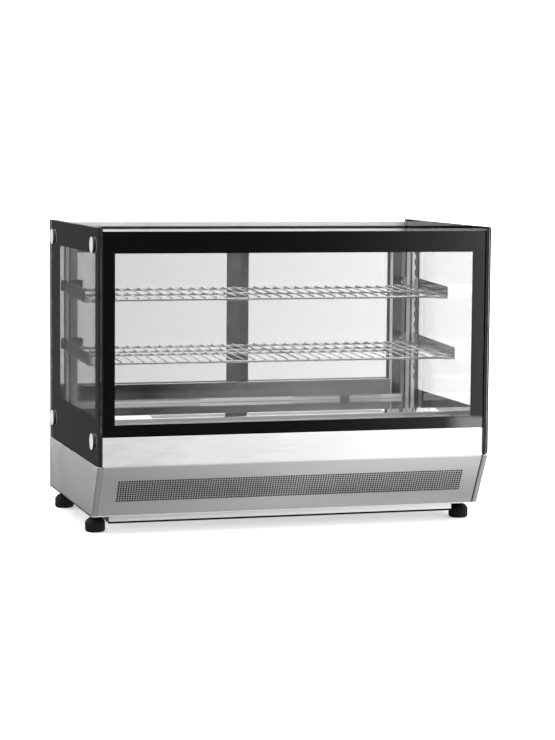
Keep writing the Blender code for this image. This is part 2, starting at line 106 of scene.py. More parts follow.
def noise(tree, scale, stretch=(1, 1, 1), detail=2.0, roughness=0.5):
    place = node(tree, "ShaderNodeTexCoord").outputs["Object"]
    mapping = node(tree, "ShaderNodeMapping", {"Vector": place, "Scale": stretch})
    return node(tree, "ShaderNodeTexNoise", {"Vector": mapping.outputs[0], "Scale": scale,
                                             "Detail": detail, "Roughness": roughness}).outputs["Fac"]


def part_of(tree, vector, axis):
    return node(tree, "ShaderNodeSeparateXYZ", {0: vector}).outputs["XYZ".index(axis)]


def place_along(tree, axis):
    """Where a point lies along one of the object's axes, in metres."""
    return part_of(tree, node(tree, "ShaderNodeTexCoord").outputs["Object"], axis)


def normal_along(tree, axis):
    """How far a face points along an axis, from -1 to 1."""
    return part_of(tree, node(tree, "ShaderNodeNewGeometry").outputs["Normal"], axis)


def facing(tree, axis):
    """How far a face points along an axis, either way."""
    return math_node(tree, "ABSOLUTE", normal_along(tree, axis))


def blend_value(tree, factor, a, b):
    return node(tree, "ShaderNodeMix", {0: factor, 2: a, 3: b}).outputs[0]


def mix_colour(tree, factor, a, b):
    made = node(tree, "ShaderNodeMix", data_type="RGBA")
    for socket, value in ((made.inputs[0], factor), (made.inputs[6], a), (made.inputs[7], b)):
        if isinstance(value, bpy.types.NodeSocket):
            tree.links.new(value, socket)
        else:
            socket.default_value = value if isinstance(value, float) else (*value, 1.0)
    return made.outputs[2]


def grey(level):
    return (level, level, level)


def new_material(name):
    made = bpy.data.materials.new(name)
    made.use_nodes = True
    made.node_tree.nodes.clear()
    return made, made.node_tree


def principled(tree, **inputs):
    return node(tree, "ShaderNodeBsdfPrincipled", inputs)


def finish_material(tree, shader):
    node(tree, "ShaderNodeOutputMaterial", {"Surface": shader})


def bump(tree, height, strength, distance):
    made = node(tree, "ShaderNodeBump", {"Height": height, "Strength": strength, "Distance": distance})
    return made.outputs[0]


def mixed(tree, factor, first, second):
    """Two shaders, the second where the factor is 1."""
    return node(tree, "ShaderNodeMixShader", {0: factor, 1: first.outputs[0], 2: second.outputs[0]})


# ---------------------------------------------------------------- materials

GRAIN = {"X": (0.02, 1.0, 1.0), "Y": (1.0, 0.02, 1.0), "Z": (1.0, 1.0, 0.02)}
FLOOR_SHADE_HEIGHTS = (0.043, 0.157)                   # painted shade towards the floor, over the lower case from its foot to its top
BRUSH_DEPTH = 0.00001
RIPPLE_DEPTH = 0.0004
# the soft edge of the painted highlight strip
HIGHLIGHT_EDGE = 0.0006
GLASS_IOR = 1.5
SILL_LIGHT_FROM_TO = (-0.22, 0.15)                   # the sill's painted light, paler towards the right, along X
PLATE_SHADE_FOOT = (0.0392, 0.0396)                   # where the base plate's painted shade ends above the pan


def brushed(name, colour, roughness, axis="X", wear=0.06, smudge=0.08, floor_shade=1.0, end_face_shade=1.0):
    """Sheet metal with fine brushing along an axis, faint smears and a little wear.

    Its floor-shade factor darkens it towards the floor: painted shade. Its end-shade factor darkens the faces
    that point along Y: painted shade on the sheet's end faces."""
    made, tree = new_material(name)
    stretch = GRAIN[axis]
    fine = noise(tree, 1400.0, stretch, 3.0, 0.65)
    streak = noise(tree, 420.0, stretch, 2.0, 0.6)
    smear = noise(tree, 7.0, detail=4.0, roughness=0.6)
    lighter = tuple(min(1.0, c * (1 + wear)) for c in colour)
    darker = tuple(c * (1 - wear) for c in colour)
    tone = mix_colour(tree, ramp(tree, streak, 0.3, 0.7), darker, lighter)
    if floor_shade != 1.0:
        # painted shade: darker towards the floor
        above = ramp(tree, place_along(tree, "Z"), *FLOOR_SHADE_HEIGHTS, smooth=False)
        tone = mix_colour(tree, above, tuple(c * floor_shade for c in colour), tone)
    if end_face_shade != 1.0:
        # painted shade: the faces that point along Y are darker
        end = ramp(tree, facing(tree, "Y"), 0.4, 0.7)
        tone = mix_colour(tree, end, tone, tuple(c * end_face_shade for c in colour))
    rough_fine = ramp(tree, fine, 0.3, 0.7, roughness * 0.85, roughness * 1.15)
    rough = math_node(tree, "ADD", rough_fine, ramp(tree, smear, 0.45, 0.75, 0.0, smudge))
    height = math_node(tree, "ADD", fine, math_node(tree, "MULTIPLY", streak, 0.5))
    tangent = node(tree, "ShaderNodeTangent", direction_type="RADIAL", axis="Z").outputs[0]
    shader = principled(tree, **{"Base Color": tone, "Metallic": 1.0, "Roughness": rough,
                                 "Anisotropic": 0.7, "Anisotropic Rotation": 0.25, "Tangent": tangent,
                                 "Normal": bump(tree, height, 0.2, BRUSH_DEPTH)})
    finish_material(tree, shader.outputs[0])
    return made


def polished(name, colour, roughness, ripple=0.1):
    """Bright metal: nearly a mirror, with handling marks and a slow ripple."""
    made, tree = new_material(name)
    marks = noise(tree, 38.0, detail=5.0, roughness=0.7)
    wave = noise(tree, 9.0, detail=1.0)
    tone = mix_colour(tree, ramp(tree, marks, 0.4, 0.7), colour, tuple(c * 0.96 for c in colour))
    rough = ramp(tree, marks, 0.3, 0.8, roughness * 0.9, roughness * 1.2)
    shader = principled(tree, **{"Base Color": tone, "Metallic": 1.0, "Roughness": rough,
                                 "Normal": bump(tree, wave, ripple, RIPPLE_DEPTH)})
    finish_material(tree, shader.outputs[0])
    return made


def deck_steel(name):
    """Mirror-polished on its level faces; satin on the step at the front, and darker there as painted shade;
    near black on the slot walls, painted shade.
    """
    made, tree = new_material(name)
    # painted shade: the step at the front is darker, as well as satin
    step = ramp(tree, facing(tree, "Y"), 0.5, 0.9)
    marks = noise(tree, 45.0, detail=5.0, roughness=0.7)
    mirror = mix_colour(tree, ramp(tree, marks, 0.4, 0.7), grey(0.66), grey(0.60))
    # painted shade: the slot walls that face along X are near black
    cut = ramp(tree, facing(tree, "X"), 0.2, 0.5)
    tone = mix_colour(tree, cut, mix_colour(tree, step, mirror, grey(0.42)), grey(0.03))
    rough = blend_value(tree, step, ramp(tree, marks, 0.3, 0.8, 0.04, 0.08), 0.42)
    ripple = bump(tree, noise(tree, 9.0, detail=1.0), 0.08, RIPPLE_DEPTH)
    shader = principled(tree, **{"Base Color": tone, "Metallic": 1.0, "Roughness": rough, "Normal": ripple})
    finish_material(tree, shader.outputs[0])
    return made


def base_steel(name):
    """A plate made near black above the pan, except on its front faces: painted shade under the side panels.
    Below it, a bright pressed pan.
    """
    made, tree = new_material(name)
    # painted shade: near black above the pan, except where the faces point to the front
    plate = ramp(tree, place_along(tree, "Z"), *PLATE_SHADE_FOOT)
    plate = math_node(tree, "MULTIPLY", plate, ramp(tree, normal_along(tree, "Y"), -0.8, -0.5))
    grain = noise(tree, 900.0, GRAIN["X"], 3.0, 0.6)
    bright = mix_colour(tree, grain, grey(0.78), grey(0.86))
    tone = mix_colour(tree, plate, bright, grey(0.012))
    shader = principled(tree, **{"Base Color": tone, "Metallic": 1.0,
                                 "Roughness": ramp(tree, grain, 0.3, 0.7, 0.36, 0.46),
                                 "Normal": bump(tree, grain, 0.2, BRUSH_DEPTH)})
    finish_material(tree, shader.outputs[0])
    return made


def channel_steel(name, dark_level, highlight_band=None, side_wall_level=0.69):
    """A dark polished channel whose side walls are satin in a tone of their own: painted light where they are
    pale, painted shade where dark. A pale satin strip along its face is a painted highlight.
    """
    made, tree = new_material(name)
    # the side walls' own tone: painted light where pale, painted shade where dark
    pale = ramp(tree, facing(tree, "X"), 0.6, 0.8)
    # painted highlight: a pale strip along the face, over a band of |x|
    if highlight_band:
        reach = math_node(tree, "ABSOLUTE", place_along(tree, "X"))
        inner, outer = highlight_band
        painted_highlight = math_node(tree, "MULTIPLY", ramp(tree, reach, inner, inner + HIGHLIGHT_EDGE),
                         ramp(tree, reach, outer, outer + HIGHLIGHT_EDGE, 1.0, 0.0))
        pale = math_node(tree, "MAXIMUM", pale, painted_highlight)
    marks = noise(tree, 60.0, (1, 1, 0.2), detail=4.0, roughness=0.6)
    dark = mix_colour(tree, marks, grey(dark_level * 0.94), grey(dark_level * 1.06))
    metal = principled(tree, **{"Base Color": dark, "Metallic": 1.0,
                                "Roughness": ramp(tree, marks, 0.2, 0.8, 0.12, 0.16)})
    light = mix_colour(tree, marks, grey(side_wall_level * 0.95), grey(side_wall_level * 1.05))
    satin = principled(tree, **{"Base Color": light, "Roughness": ramp(tree, marks, 0.2, 0.8, 0.45, 0.55)})
    finish_material(tree, mixed(tree, pale, metal, satin).outputs[0])
    return made


def sill_steel(name):
    """Polished metal mixed towards the right into pale satin: painted light, paler towards the right."""
    made, tree = new_material(name)
    marks = noise(tree, 30.0, (0.3, 1, 1), detail=5.0, roughness=0.7)
    painted_light_ramp = ramp(tree, place_along(tree, "X"), *SILL_LIGHT_FROM_TO, 0.0, 0.42, False)
    # painted light: the mix towards pale satin, grainy with the marks
    cloud = math_node(tree, "MULTIPLY", painted_light_ramp, ramp(tree, marks, 0.2, 0.8, 0.85, 1.15))
    bright = mix_colour(tree, marks, grey(0.62), grey(0.58))
    dull = mix_colour(tree, marks, grey(0.62), grey(0.55))
    metal = principled(tree, **{"Base Color": bright, "Metallic": 1.0,
                                "Roughness": ramp(tree, marks, 0.3, 0.8, 0.08, 0.12)})
    satin = principled(tree, **{"Base Color": dull, "Roughness": 0.5})
    finish_material(tree, mixed(tree, cloud, metal, satin).outputs[0])
    return made


def plastic(name, colour, roughness, grain=2600.0, depth=0.00003, dust_level=0.008, specular=0.5):
    """Moulded plastic, rubber or cast metal with a fine grain, and dust in its tone."""
    made, tree = new_material(name)
    pores = noise(tree, grain, detail=2.0)
    dust = noise(tree, 24.0, detail=5.0, roughness=0.7)
    dusty = tuple(min(1.0, c * 1.35 + dust_level) for c in colour)
    tone = mix_colour(tree, ramp(tree, dust, 0.4, 0.8), colour, dusty)
    rough = ramp(tree, dust, 0.3, 0.8, roughness * 0.88, min(1.0, roughness * 1.15))
    shader = principled(tree, **{"Base Color": tone, "Roughness": rough, "Specular IOR Level": specular,
                                 "Normal": bump(tree, pores, 0.5, depth)})
    finish_material(tree, shader.outputs[0])
    return made


def clear_glass(name, axis, tint=0.955, gain=1.0):
    """A thin pane facing an axis: it mirrors on its front face and shows its edges dark grey-green, near black
    seen from behind as painted shade.
    """
    made, tree = new_material(name)
    behind = node(tree, "ShaderNodeNewGeometry").outputs["Backfacing"]
    once = node(tree, "ShaderNodeFresnel", {"IOR": GLASS_IOR}).outputs[0]
    twice = math_node(tree, "DIVIDE", math_node(tree, "MULTIPLY", once, 2.0),
                      math_node(tree, "ADD", once, 1.0))
    front = math_node(tree, "MULTIPLY", math_node(tree, "SUBTRACT", 1.0, behind), gain)
    drift = noise(tree, 3.0, detail=2.0)
    tone = mix_colour(tree, drift, (tint, tint, tint), (tint * 0.99, tint * 0.995, tint * 0.992))
    through = node(tree, "ShaderNodeBsdfTransparent", {"Color": tone})
    mirror = node(tree, "ShaderNodeBsdfGlossy", {"Color": (1, 1, 1, 1), "Roughness": 0.01})
    pane = mixed(tree, math_node(tree, "MULTIPLY", twice, front, True), through, mirror)
    speckle = noise(tree, 120.0, detail=2.0)
    ground = mix_colour(tree, speckle, (0.008, 0.010, 0.009), (0.018, 0.022, 0.021))
    # painted shade: the edges are near black seen from behind
    edge_tone = mix_colour(tree, behind, ground, (0.002, 0.002, 0.002))
    edge = principled(tree, **{"Base Color": edge_tone, "Roughness": 0.25, "Specular IOR Level": 0.15})
    on_face = math_node(tree, "GREATER_THAN", facing(tree, axis), 0.7)
    finish_material(tree, mixed(tree, on_face, edge, pane).outputs[0])
    return made


def border_print(name, axis):
    """The black border between two panes, with the grey sealant that shows at its edges."""
    made, tree = new_material(name)
    cloud = noise(tree, 4.0, detail=2.0)
    black = mix_colour(tree, cloud, (0.0012, 0.0012, 0.0013), (0.0024, 0.0024, 0.0025))
    sealant = mix_colour(tree, noise(tree, 60.0, detail=2.0), grey(0.010), grey(0.020))
    tone = mix_colour(tree, ramp(tree, facing(tree, axis), 0.4, 0.6), sealant, black)
    shader = principled(tree, **{"Base Color": tone, "Roughness": 0.35, "Specular IOR Level": 0.0})
    finish_material(tree, shader.outputs[0])
    return made


def painted(name, colour, roughness):
    made, tree = new_material(name)
    peel = noise(tree, 420.0, detail=1.0)
    grime = noise(tree, 13.0, detail=5.0, roughness=0.65)
    tone = mix_colour(tree, ramp(tree, grime, 0.45, 0.8), colour, tuple(c * 0.82 for c in colour))
    shader = principled(tree, **{"Base Color": tone, "Roughness": roughness, "Coat Weight": 0.25,
                                 "Normal": bump(tree, peel, 0.25, 0.00008)})
    finish_material(tree, shader.outputs[0])
    return made


def lit_diffuser(name):
    made, tree = new_material(name)
    cloud = noise(tree, 60.0, detail=2.0)
    tone = mix_colour(tree, cloud, (0.80, 0.80, 0.79), (0.86, 0.86, 0.85))
    shader = principled(tree, **{"Base Color": tone, "Roughness": 0.45,
                                 "Emission Color": (1.0, 0.98, 0.95, 1.0), "Emission Strength": 0.35,
                                 "Normal": bump(tree, cloud, 0.1, 0.0001)})
    finish_material(tree, shader.outputs[0])
    return made


STEEL = brushed("brushed_steel", grey(0.52), 0.30)
# painted shade: darker towards the floor
STEEL_DARK = brushed("intake_steel", grey(0.60), 0.34, "X", 0.015, 0.03, 0.82)
BRIGHT = brushed("bright_steel", grey(0.88), 0.36, "X", 0.01, 0.02)
RAIL = brushed("rail_steel", grey(0.85), 0.48, "X", 0.02, 0.03)
# near black: a dust filter, and painted shade behind the intake's holes and below the deck's slots
FILTER_SHADE = plastic("dust_filter_shade", grey(0.004), 0.85, 900.0, 0.0001, 0.001, 0.1)
# painted light on the side walls, and a painted highlight strip along the face
UPRIGHT = channel_steel("upright_steel", 0.39, (0.4170, 0.4256))
SILL_STEEL = sill_steel("sill_steel")
# painted shade: darker towards the floor and on its end faces
SIDE_STEEL = brushed("side_steel", grey(0.95), 0.45, "Y", 0.02, 0.04, 0.70, end_face_shade=0.42)
BASE_STEEL = base_steel("base_steel")
MIRROR = deck_steel("mirror_steel")
CHROME = polished("chrome", grey(0.42), 0.13, 0.05)
BRACKET = polished("bracket_steel", grey(0.52), 0.14, 0.05)
# painted shade: near-black satin side walls
BRACKET_OUTSIDE = channel_steel("bracket_outside", 0.52, side_wall_level=0.17)
# painted light: pale satin side walls
POST_STEEL = channel_steel("post_steel", 0.46)
HEADER_STEEL = brushed("header_steel", grey(0.60), 0.33, "X", 0.03, 0.03)
CAP_STEEL = plastic("cap_steel", grey(0.52), 0.40, 1200.0, 0.00001)
ALUMINIUM = brushed("aluminium", grey(0.62), 0.33)
FINS = brushed("fin_aluminium", grey(0.50), 0.40, "Z")
GLASS_X = clear_glass("side_pane", "X")
GLASS_Y = clear_glass("front_pane", "Y")
GLASS_Z = clear_glass("top_pane", "Z", 0.985, 1.2)
BLACK_PLASTIC = plastic("black_plastic", grey(0.018), 0.42)
GREY_PLASTIC = plastic("grey_plastic", grey(0.125), 0.45)
RUBBER = plastic("rubber", grey(0.003), 0.8, 1500.0, 0.00006, 0.001, 0.2)
LINER = painted("liner", grey(0.05), 0.5)
ENAMEL = painted("black_enamel", grey(0.018), 0.35)
DIFFUSER = lit_diffuser("lamp_diffuser")
PRINT_SIDE = border_print("border_side", "X")
PRINT_FRONT = border_print("border_front", "Y")

BY_SLOT = {
    "steel": STEEL, "bright_steel": BRIGHT, "chrome": CHROME, "aluminium": ALUMINIUM, "glass": GLASS_Y,
    "spacer": PRINT_SIDE, "black_plastic": BLACK_PLASTIC, "grey_plastic": GREY_PLASTIC,
    "rubber": RUBBER, "foam": LINER, "enamel": ENAMEL, "diffuser": DIFFUSER,
}
BY_NODE = {
    "front_glass_spacer": PRINT_FRONT, "left_side_panel": SIDE_STEEL, "right_side_panel": SIDE_STEEL,
    "left_glass_outer_pane": GLASS_X, "left_glass_inner_pane": GLASS_X, "right_glass_outer_pane": GLASS_X,
    "right_glass_inner_pane": GLASS_X, "top_glass": GLASS_Z, "rear_sill": SILL_STEEL,
    "condenser_coil": FINS, "evaporator_coil": FINS, "rear_header": HEADER_STEEL, "base_plate": BASE_STEEL,
    "left_rear_post": ALUMINIUM, "right_rear_post": POST_STEEL,
    "left_upright": UPRIGHT, "right_upright": UPRIGHT,
    "left_upper_bracket": BRACKET_OUTSIDE, "left_lower_bracket": BRACKET_OUTSIDE,
    "right_upper_bracket": BRACKET, "right_lower_bracket": BRACKET,
}


def material_for(node_name):
    return BY_NODE.get(node_name) or BY_SLOT[SLOT_OF[node_name]]


# ---------------------------------------------------------------- shape helpers

def add_piece(name, mesh_or_bmesh, node_name, material=None, angle=35.0):
    """A new piece that stands for a CAD node, on that node's body, with that node's material unless another is
    given.
    """
    mesh = mesh_or_bmesh
    if isinstance(mesh, bmesh.types.BMesh):
        mesh = bpy.data.meshes.new(name)
        mesh_or_bmesh.to_mesh(mesh)
        mesh_or_bmesh.free()
    mesh.shade_smooth()
    mesh.set_sharp_from_angle(angle=math.radians(angle))
    mesh.materials.clear()
    mesh.materials.append(material or material_for(node_name))
    piece = bpy.data.objects.new(name, mesh)
    bpy.context.scene.collection.objects.link(piece)
    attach(piece, BODY_OF[node_name])
    return piece


WELD = 0.00002
BEVEL_SEGMENTS = 3
BEVEL_ANGLE = 32


def softened(node_name, width):
    """The CAD shape again, with its sharp edges rolled over as folded or moulded edges are."""
    body = bmesh.new()
    body.from_mesh(NODES[node_name].data)
    bmesh.ops.remove_doubles(body, verts=body.verts, dist=WELD)
    bmesh.ops.dissolve_limit(body, angle_limit=math.radians(0.5), verts=body.verts, edges=body.edges)
    piece = add_piece("visual_" + node_name, body, node_name)
    bevel = piece.modifiers.new("edges", "BEVEL")
    bevel.width = width
    bevel.segments = BEVEL_SEGMENTS
    bevel.limit_method = "ANGLE"
    bevel.angle_limit = math.radians(BEVEL_ANGLE)
    bevel.harden_normals = False
    piece.modifiers.new("normals", "WEIGHTED_NORMAL").keep_sharp = True
    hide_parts(node_name)
    return piece


EDGE_REACH = 0.0016
TURN_AXES = {
    "X": ((0, 1, 0), (0, 0, 1), (1, 0, 0)), "-X": ((0, 1, 0), (0, 0, 1), (-1, 0, 0)),
    "Y": ((1, 0, 0), (0, 0, 1), (0, 1, 0)), "Z": ((1, 0, 0), (0, 1, 0), (0, 0, 1)),
}


def spin(body, centre, axis, profile, sides, wobble=None):
    """Turns (radius, height) points about an axis; wobble changes a radius with its angle."""
    x_way, y_way, z_way, centre = (Vector(v) for v in (*TURN_AXES[axis], centre))
    rings = []
    for radius, height in profile:
        base = centre + z_way * height
        if radius == 0:
            rings.append([body.verts.new(base)])
            continue
        ring = []
        for i in range(sides):
            turn = 2 * math.pi * i / sides
            reach = radius + (wobble(turn, height) if wobble else 0.0)
            across, up = x_way * reach * math.cos(turn), y_way * reach * math.sin(turn)
            ring.append(body.verts.new(base + across + up))
        rings.append(ring)
    made = []
    for ring, after in zip(rings, rings[1:]):
        for i in range(sides):
            j = (i + 1) % sides
            corners = [ring[i % len(ring)], ring[j % len(ring)], after[j % len(after)], after[i % len(after)]]
            made.append(body.faces.new(list(dict.fromkeys(corners))))
    bmesh.ops.recalc_face_normals(body, faces=made)


def rod(body, start, end, radius, sides):
    """A round bar with slightly chamfered ends."""
    start, end = Vector(start), Vector(end)
    along = (end - start).normalized()
    across = along.orthogonal().normalized()
    other = along.cross(across)
    chamfer = radius * 0.35
    steps = [(start, radius - chamfer), (start + along * chamfer, radius),
             (end - along * chamfer, radius), (end, radius - chamfer)]
    rings = []
    for centre, reach in steps:
        rings.append([body.verts.new(centre + (across * math.cos(2 * math.pi * i / sides)
                                               + other * math.sin(2 * math.pi * i / sides)) * reach)
                      for i in range(sides)])
    made = [body.faces.new(rings[0][::-1]), body.faces.new(rings[-1])]
    for ring, after in zip(rings, rings[1:]):
        for i in range(sides):
            j = (i + 1) % sides
            made.append(body.faces.new((ring[i], ring[j], after[j], after[i])))


def prism(body, near, far):
    """A closed solid between two copies of one outline."""
    near, far = ([body.verts.new(point) for point in ring] for ring in (near, far))
    body.faces.new(near)
    body.faces.new(far[::-1])
    for i in range(len(near)):
        j = (i + 1) % len(near)
        body.faces.new((near[i], far[i], far[j], near[j]))


def shift_edge(piece, edge, distance):
    """Moves one upright edge of a piece along X."""
    for vert in piece.data.vertices:
        if abs(vert.co.x - edge) < EDGE_REACH:
            vert.co.x += distance


def rounded_path(points, radius, steps=4):
    """A bent sheet's profile: the corners of a line of points, rolled to a radius."""
    points = [Vector(p) for p in points]
    path = [points[0]]
    for before, corner, after in zip(points, points[1:], points[2:]):
        a, b = (before - corner).normalized(), (after - corner).normalized()
        half = a.angle(b) / 2
        reach = radius / math.tan(half)
        centre = corner + (a + b).normalized() * (radius / math.sin(half))
        first, last = corner + a * reach, corner + b * reach
        for i in range(steps + 1):
            way = (first - centre).lerp(last - centre, i / steps)
            path.append(centre + way.normalized() * radius)
    path.append(points[-1])
    return path


def sheet(xs, path, extra, hole):
    """A bent sheet across X, one cell to each pair of stops. path is its (y, z) profile and extra
    the added stops along it; hole(x0, x1, s0, s1) gives the outline cut from a cell, or None."""
    lengths = [0.0]
    for a, b in zip(path, path[1:]):
        lengths.append(lengths[-1] + (b - a).length)
    stops = sorted(set(round(s, 7) for s in lengths + list(extra)))

    def at(x, s):
        for k in range(len(path) - 1):
            if s <= lengths[k + 1] + 1e-9 or k == len(path) - 2:
                part = (s - lengths[k]) / (lengths[k + 1] - lengths[k])
                point = path[k].lerp(path[k + 1], part)
                return Vector((x, point.x, point.y))

    body = bmesh.new()
    grid = [[body.verts.new(at(x, s)) for x in xs] for s in stops]
    for j in range(len(stops) - 1):
        for i in range(len(xs) - 1):
            corners = [grid[j][i], grid[j][i + 1], grid[j + 1][i + 1], grid[j + 1][i]]
            outline = hole(xs[i], xs[i + 1], stops[j], stops[j + 1])
            if outline is None:
                body.faces.new(corners)
                continue
            ring = [body.verts.new(at(x, s)) for x, s in outline]
            quarter = len(ring) // 4
            for q in range(4):
                part = [ring[(q * quarter + k) % len(ring)] for k in range(quarter + 1)]
                body.faces.new([corners[q], corners[(q + 1) % 4], *reversed(part)])
    return body


SLOT_SIDES = 16


def slot_ring(x, s, width, length):
    """A round-ended slot's outline, lengthwise along s; a hole when both sizes match."""
    radius = width / 2
    straight = max(0.0, length / 2 - radius)
    ring = []
    for i in range(SLOT_SIDES):
        turn = math.radians(225) + 2 * math.pi * i / SLOT_SIDES
        shift = straight if math.sin(turn) > 1e-6 else -straight
        ring.append((x + radius * math.cos(turn), s + radius * math.sin(turn) + shift))
    return ring


def thickened(body, thickness):
    """A one-sided sheet made solid, as a new mesh; the sign says which side it grows to."""
    mesh = bpy.data.meshes.new("sheet")
    body.to_mesh(mesh)
    body.free()
    flat = bpy.data.objects.new("sheet", mesh)
    bpy.context.scene.collection.objects.link(flat)
    shell = flat.modifiers.new("thickness", "SOLIDIFY")
    shell.thickness = abs(thickness)
    shell.offset = -1.0 if thickness > 0 else 1.0
    shell.use_even_offset = True
    depsgraph = bpy.context.evaluated_depsgraph_get()
    solid = bpy.data.meshes.new_from_object(flat.evaluated_get(depsgraph))
    bpy.data.objects.remove(flat, do_unlink=True)
    bpy.data.meshes.remove(mesh)
    return solid


# ---------------------------------------------------------------- detailed pieces

INTAKE_SHEET = 0.0012
INTAKE_FLANGE = 0.012                           # folded back at the slope's top and foot
INTAKE_BEND = 0.0016
INTAKE_PITCH, INTAKE_COLUMNS, INTAKE_ROWS = 0.00566, 139, 10
INTAKE_HOLE = 0.0048
INTAKE_MARGIN = 0.0377                          # from the slope's top to the first row of holes


def add_intake_panel():
    """The sloped intake below the fascia, with its field of round holes."""
    low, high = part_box("front_grille_panel")
    flange, pitch, columns, rows = INTAKE_FLANGE, INTAKE_PITCH, INTAKE_COLUMNS, INTAKE_ROWS
    foot_y = high.y - flange
    corners = [(low.y + flange, high.z), (low.y, high.z), (foot_y, low.z), (high.y, low.z)]
    path = rounded_path(corners, INTAKE_BEND)
    first_row = flange + INTAKE_MARGIN - pitch / 2
    edge = -columns * pitch / 2
    xs = [low.x] + [edge + pitch * i for i in range(columns + 1)] + [high.x]
    field = (first_row, first_row + rows * pitch)
    stops = [first_row + pitch * i for i in range(rows + 1)]

    def hole(x0, x1, s0, s1):
        in_columns = x0 > edge - 1e-6 and x1 < -edge + 1e-6
        in_rows = s0 > field[0] - 1e-6 and s1 < field[1] + 1e-6
        if not (in_columns and in_rows):
            return None
        return slot_ring((x0 + x1) / 2, (s0 + s1) / 2, INTAKE_HOLE, INTAKE_HOLE)

    solid = thickened(sheet(xs, path, stops, hole), INTAKE_SHEET)
    piece = add_piece("intake_panel", solid, "front_grille_panel", STEEL_DARK, 30.0)
    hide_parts("front_grille_panel")


FILTER_PLEATS = 96
FILTER_HALF = 0.412                             # half its width
FILTER_INSET = 0.012                            # from the slope's top and foot
FILTER_BEHIND = 0.005                           # from the sheet's front face
FILTER_FOLD = 0.0022
FILTER_THICK = 0.0012


def add_filter():
    """A pleated near-black dust filter just behind the intake's holes; it also stands in for the shade seen
    through them, as painted shade.
    """
    low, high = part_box("front_grille_panel")
    foot_y = high.y - INTAKE_FLANGE
    back = Vector((0.0, foot_y - low.y, low.z - high.z)).normalized()
    behind = Vector((0.0, -back.z, back.y))
    top = Vector((0.0, low.y, high.z)) + back * FILTER_INSET + behind * FILTER_BEHIND
    end = Vector((0.0, foot_y, low.z)) - back * FILTER_INSET + behind * FILTER_BEHIND
    pleats, half = FILTER_PLEATS, FILTER_HALF
    body = bmesh.new()
    rows = []
    for place in (top, end):
        front, rear = [], []
        for i in range(2 * pleats + 1):
            x = -half + half * i / pleats
            fold = behind * (FILTER_FOLD * (i % 2))
            front.append(body.verts.new(place + fold + Vector((x, 0, 0))))
            rear.append(body.verts.new(place + fold + behind * FILTER_THICK + Vector((x, 0, 0))))
        rows.append((front, rear))
    (front, rear), (front_end, rear_end) = rows
    for a, b in ((front, front_end), (rear_end, rear), (rear, front), (front_end, rear_end)):
        for i in range(2 * pleats):
            body.faces.new((a[i], a[i + 1], b[i + 1], b[i]))
    body.faces.new((front[0], front_end[0], rear_end[0], rear[0]))
    body.faces.new((front[-1], rear[-1], rear_end[-1], front_end[-1]))
    bmesh.ops.recalc_face_normals(body, faces=body.faces)
    add_piece("dust_filter_shade", body, "front_grille_panel", FILTER_SHADE, 30.0)


SLOT_PITCH = 0.0073
DECK_SHEET = -0.0008                            # minus, so that the sheet grows upwards
DECK_CREST_Y, DECK_DROP_Y = -0.033, -0.077      # where the level part and the slotted strip end
DECK_STRIP_LOW = 0.2335                         # the strip's height at its front
DECK_FRONT_RISE = 0.0015
DECK_MARGIN = 0.004
REAR_STRIP = (0.0025, 0.0145)                   # the rear slots, from the deck's rear edge
REAR_SLOT = (0.0040, 0.0100)
STRIP_MARGIN = 0.003
FRONT_SLOT_WIDTH, FRONT_SLOT_END = 0.0050, 0.0075
FRONT_SLOTS_HALF = 0.272                        # the front slots' reach either way along X
FRONT_SLOTS_GAP = (-0.100, -0.054)              # plain metal between two groups of them


def add_deck():
    """The polished deck with its two rows of air slots."""
    low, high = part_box("deck_panel")
    top, foot = high.z, low.z + DECK_FRONT_RISE
    path = rounded_path([(high.y, top), (DECK_CREST_Y, top), (DECK_DROP_Y, DECK_STRIP_LOW),
                         (DECK_DROP_Y, foot), (low.y, foot)], 0.0008, 3)
    flat_end = high.y - DECK_CREST_Y
    strip = math.hypot(DECK_CREST_Y - DECK_DROP_Y, top - DECK_STRIP_LOW)
    rear = REAR_STRIP
    front = (flat_end + STRIP_MARGIN, flat_end + strip - STRIP_MARGIN)
    columns = int((high.x - low.x - DECK_MARGIN) / SLOT_PITCH)
    edge = -columns * SLOT_PITCH / 2
    xs = [low.x] + [edge + SLOT_PITCH * i for i in range(columns + 1)] + [high.x]

    def hole(x0, x1, s0, s1):
        x = (x0 + x1) / 2
        middle = (s0 + s1) / 2
        if not SLOT_PITCH * 0.9 <= x1 - x0 <= SLOT_PITCH * 1.1:
            return None
        if abs(s0 - rear[0]) < 1e-5 and abs(s1 - rear[1]) < 1e-5:
            return slot_ring(x, middle, *REAR_SLOT)
        if abs(s0 - front[0]) < 1e-5 and abs(s1 - front[1]) < 1e-5:
            in_gap = FRONT_SLOTS_GAP[0] < x < FRONT_SLOTS_GAP[1]
            if abs(x) < FRONT_SLOTS_HALF and not in_gap:
                return slot_ring(x, middle, FRONT_SLOT_WIDTH, strip - FRONT_SLOT_END)
        return None

    solid = thickened(sheet(xs, path, [*rear, *front], hole), DECK_SHEET)
    piece = add_piece("deck_plate", solid, "deck_panel", MIRROR, 20.0)
    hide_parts("deck_panel")


RAIL_Y = (0.1868, 0.1892)
RAIL_LOW, RAIL_HIGH = 0.2371, 0.2458
RAIL_NOTCH = 0.0040


